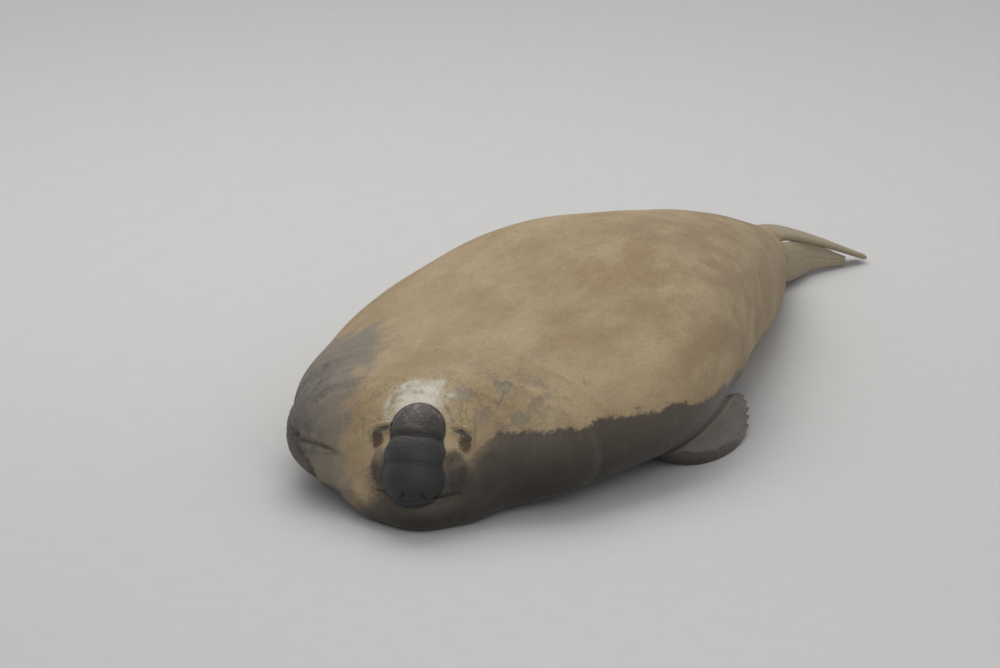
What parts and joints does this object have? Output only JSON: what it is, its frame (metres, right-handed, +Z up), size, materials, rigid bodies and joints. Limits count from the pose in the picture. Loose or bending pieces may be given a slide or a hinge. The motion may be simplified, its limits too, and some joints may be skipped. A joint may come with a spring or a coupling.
{
  "type": "elephant seal",
  "caption": "Southern elephant seal bull at rest on its belly, trunk-like nose over the mouth, eyes nearly closed; a life-size still display model.",
  "frame": {"origin": "centre of the bounding box in plan, on the floor under the belly", "axes": "+Y runs from the face toward the tail, so the animal faces -Y; +X is its left side; +Z is up"},
  "size_m": [1.6674, 4.2388, 0.7746],
  "materials": {
    "coat": "short dense hair, dry and matt, tan to golden brown",
    "face": "short hair over folded skin, matt",
    "snout": "bare wrinkled skin, damp, dull sheen",
    "jaw": "short hair, wet, dark",
    "limb": "short wet hair over thick skin",
    "eye": "wet, dark, polished",
    "claw": "dark horn, worn"
  },
  "bodies": {
    "root": {"head": "face", "proboscis": "snout", "lower_jaw": "jaw", "neck": "coat", "chest": "coat", "torso": "coat", "loin": "coat", "hips": "coat", "tail": "coat", "flipper_fore_left": "limb", "flipper_fore_right": "limb", "flipper_hind_left": "limb", "flipper_hind_right": "limb", "eye_left": "eye", "eye_right": "eye", "claw_left_1": "claw", "claw_left_2": "claw", "claw_left_3": "claw", "claw_left_4": "claw", "claw_left_5": "claw", "claw_right_1": "claw", "claw_right_2": "claw", "claw_right_3": "claw", "claw_right_4": "claw", "claw_right_5": "claw"}
  },
  "joints": []
}
